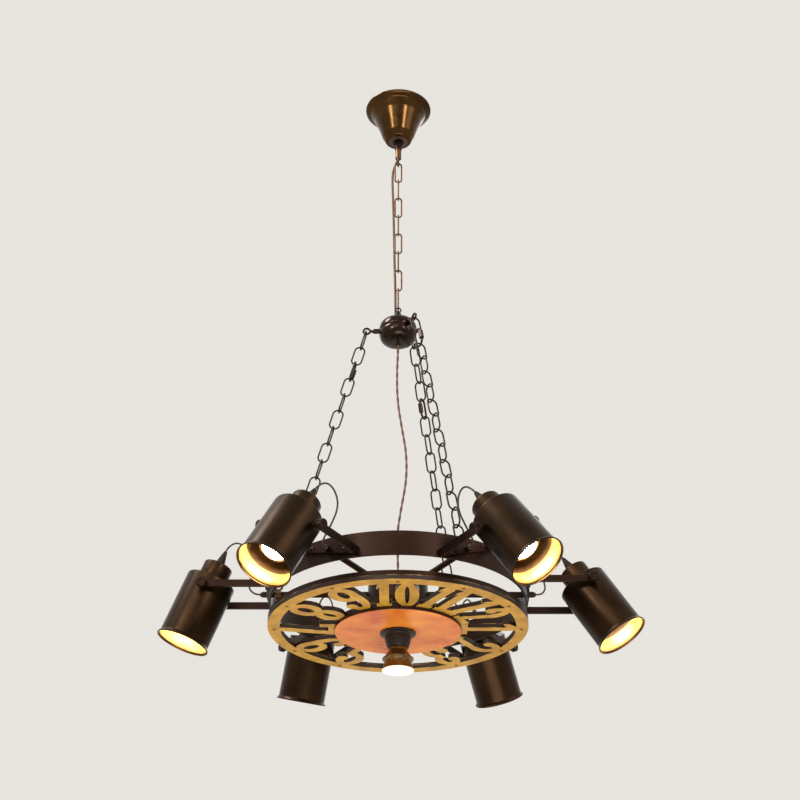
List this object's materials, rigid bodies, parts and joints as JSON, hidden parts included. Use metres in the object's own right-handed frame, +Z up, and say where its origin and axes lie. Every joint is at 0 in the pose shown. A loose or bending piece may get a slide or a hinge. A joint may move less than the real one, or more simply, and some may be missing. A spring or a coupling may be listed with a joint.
{
  "type": "wagon wheel chandelier",
  "caption": "Wagon wheel chandelier: tilting can lamps round an iron rim, over a pierced clock dial with a centre lamp, hung on chains from a ball and a bell canopy.",
  "frame": {"origin": "on the ceiling, at the middle of the bracket's top face", "axes": "+Z up, -Y towards the pictured front, +X to the right of that view"},
  "size_m": [0.8031, 0.7126, 1.18],
  "materials": {
    "bronze": "antique bronze lacquer, glossy",
    "chain_metal": "dark antique bronze",
    "iron_paint": "dark rust-brown paint, satin",
    "shade_paint": "brown-black paint, satin, gold inside",
    "gold_enamel": "aged gold paint",
    "orange_enamel": "glossy orange enamel, weathered",
    "rivet_brass": "dull",
    "zinc_steel": "zinc plated",
    "bakelite": "black moulded",
    "bush_rubber": "matt",
    "bulb_glass": "frosted face",
    "cord_sheath": "brown sheath"
  },
  "bodies": {
    "ceiling": {"ceiling_bracket": "zinc_steel", "stem_tube": "zinc_steel", "stem_nut": "zinc_steel", "terminal_block": "bakelite", "canopy": "bronze", "canopy_collar": "iron_paint", "canopy_loop": "chain_metal"},
    "top_link": {"top_link": "chain_metal"},
    "hanging_frame": {"hub_dome": "bronze", "hub_cup": "bronze", "hub_finial": "bronze", "upper_chain": "chain_metal", "chain_left": "chain_metal", "chain_front": "chain_metal", "chain_back": "chain_metal", "quick_links": "chain_metal", "quick_link_nuts": "chain_metal", "hub_eye_bolts": "chain_metal", "chain_collars": "chain_metal", "wheel_rim": "iron_paint", "spokes": "iron_paint", "hub_box": "iron_paint", "hub_lid": "iron_paint", "yokes": "iron_paint", "yoke_rivets": "iron_paint", "pivot_bolts": "iron_paint", "pivot_spacers": "iron_paint", "dial_drum": "iron_paint", "dial_face": "gold_enamel", "centre_disc": "orange_enamel", "dial_rivets": "rivet_brass", "hub_plate": "zinc_steel", "pivot_nuts": "zinc_steel", "lamp_pipe": "zinc_steel", "pipe_nuts": "zinc_steel", "centre_socket": "bakelite", "wire_connectors": "bakelite", "lead_bushes": "bush_rubber", "centre_bulb": "bulb_glass", "supply_cord": "cord_sheath", "drop_cord": "cord_sheath", "lamp_leads": "cord_sheath"},
    "lamp_right": {"shade_right": "shade_paint", "holder_right": "bakelite", "bulb_right": "bulb_glass"},
    "lamp_back_right": {"shade_back_right": "shade_paint", "holder_back_right": "bakelite", "bulb_back_right": "bulb_glass"},
    "lamp_back_left": {"shade_back_left": "shade_paint", "holder_back_left": "bakelite", "bulb_back_left": "bulb_glass"},
    "lamp_left": {"shade_left": "shade_paint", "holder_left": "bakelite", "bulb_left": "bulb_glass"},
    "lamp_front_left": {"shade_front_left": "shade_paint", "holder_front_left": "bakelite", "bulb_front_left": "bulb_glass"},
    "lamp_front_right": {"shade_front_right": "shade_paint", "holder_front_right": "bakelite", "bulb_front_right": "bulb_glass"}
  },
  "joints": [
    {"name": "sway_side", "type": "hinge", "parent": "ceiling", "child": "top_link", "pos_m": [0, 0, -0.14], "axis": [0, 1, 0], "range_deg": [-12, 12], "deforming": ["supply_cord"]},
    {"name": "sway_fore", "type": "hinge", "parent": "top_link", "child": "hanging_frame", "pos_m": [0, 0, -0.1819], "axis": [1, 0, 0], "range_deg": [-12, 12], "deforming": ["supply_cord"]},
    {"name": "tilt_right", "type": "hinge", "parent": "hanging_frame", "child": "lamp_right", "pos_m": [0.322, 0, -1.045], "axis": [0, -0.9848, 0.1736], "range_deg": [-50, 60], "deforming": ["lamp_leads"]},
    {"name": "tilt_back_right", "type": "hinge", "parent": "hanging_frame", "child": "lamp_back_right", "pos_m": [0.161, 0.27886, -1.045], "axis": [0.866, -0.5, 0], "range_deg": [-53, 57], "deforming": ["lamp_leads"]},
    {"name": "tilt_back_left", "type": "hinge", "parent": "hanging_frame", "child": "lamp_back_left", "pos_m": [-0.161, 0.27886, -1.045], "axis": [0.866, 0.5, 0], "range_deg": [-40.5, 69.5], "deforming": ["lamp_leads"]},
    {"name": "tilt_left", "type": "hinge", "parent": "hanging_frame", "child": "lamp_left", "pos_m": [-0.322, 0, -1.045], "axis": [0, 1, 0], "range_deg": [-41, 69], "deforming": ["lamp_leads"]},
    {"name": "tilt_front_left", "type": "hinge", "parent": "hanging_frame", "child": "lamp_front_left", "pos_m": [-0.161, -0.27886, -1.045], "axis": [-0.8471, 0.4891, 0.2079], "range_deg": [-48, 62], "deforming": ["lamp_leads"]},
    {"name": "tilt_front_right", "type": "hinge", "parent": "hanging_frame", "child": "lamp_front_right", "pos_m": [0.161, -0.27886, -1.045], "axis": [-0.8236, -0.4755, -0.309], "range_deg": [-52, 58], "deforming": ["lamp_leads"]}
  ]
}
